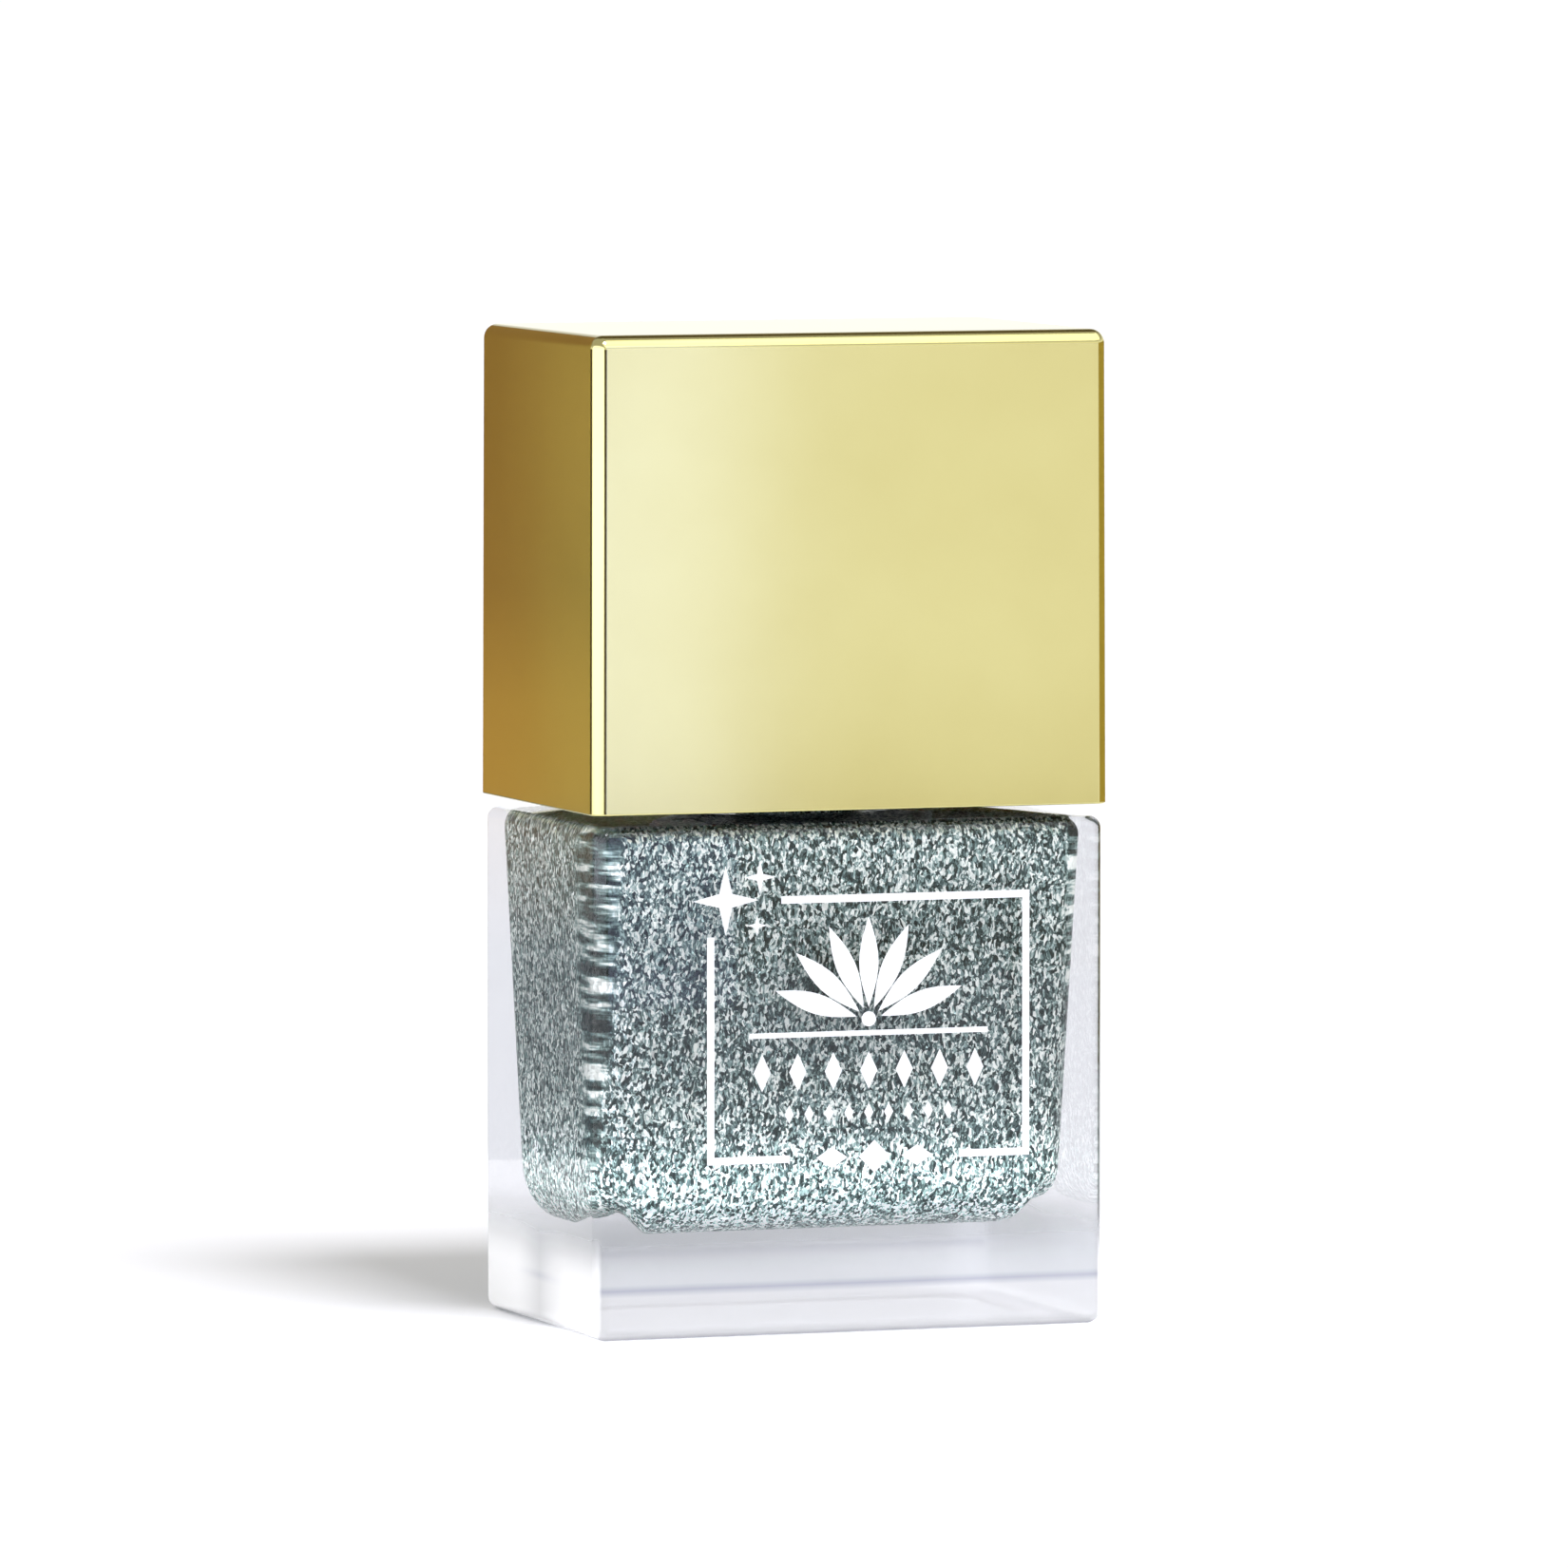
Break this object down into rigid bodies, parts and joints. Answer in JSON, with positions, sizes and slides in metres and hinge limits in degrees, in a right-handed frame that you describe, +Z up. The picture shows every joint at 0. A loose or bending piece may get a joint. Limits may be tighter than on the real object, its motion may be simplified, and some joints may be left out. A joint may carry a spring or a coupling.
{
  "type": "nail polish bottle",
  "caption": "Flat square-shouldered glass bottle of glitter nail polish with a screw closure that carries the brush, under a tall rectangular metallised overcap that pulls straight off.",
  "frame": {"origin": "centre of the base, on the surface the bottle stands on", "axes": "+Z up along the neck; +X along the width, to the right seen from the front; the printed front faces -Y"},
  "size_m": [0.0362, 0.0238, 0.0664],
  "materials": {
    "clear_glass": "polished, moulded flint glass",
    "glitter_polish": "silver-green glitter in clear lacquer",
    "steel_ball": "ground steel",
    "white_ink": "fired white screen ink",
    "gold_metallised": "satin gold metallised plastic",
    "natural_plastic": "natural moulded plastic",
    "black_plastic": "black moulded plastic",
    "foam_liner": "white foamed liner",
    "stem_plastic": "black moulded plastic",
    "nylon_bristle": "dark nylon filament",
    "brass_wire": "flat drawn wire"
  },
  "bodies": {
    "bottle": {"glass_flask": "clear_glass", "polish": "glitter_polish", "mixing_ball_left": "steel_ball", "mixing_ball_right": "steel_ball", "front_print": "white_ink"},
    "liner": {"sealing_liner": "foam_liner"},
    "closure": {"screw_closure": "black_plastic", "brush_stem": "stem_plastic", "brush_bristles": "nylon_bristle", "bristle_anchor": "brass_wire"},
    "overcap": {"overcap_shell": "gold_metallised", "overcap_insert": "natural_plastic"}
  },
  "joints": [
    {"name": "closure_lift", "type": "slide", "parent": "bottle", "child": "liner", "axis": [0, 0, 1], "range_m": [0, 0.042]},
    {"name": "closure_turn", "type": "hinge", "parent": "liner", "child": "closure", "pos_m": [0, 0, 0.045], "axis": [0, 0, 1], "range_deg": [0, 540]},
    {"name": "overcap_pull", "type": "slide", "parent": "closure", "child": "overcap", "axis": [0, 0, 1], "range_m": [0, 0.025]}
  ]
}
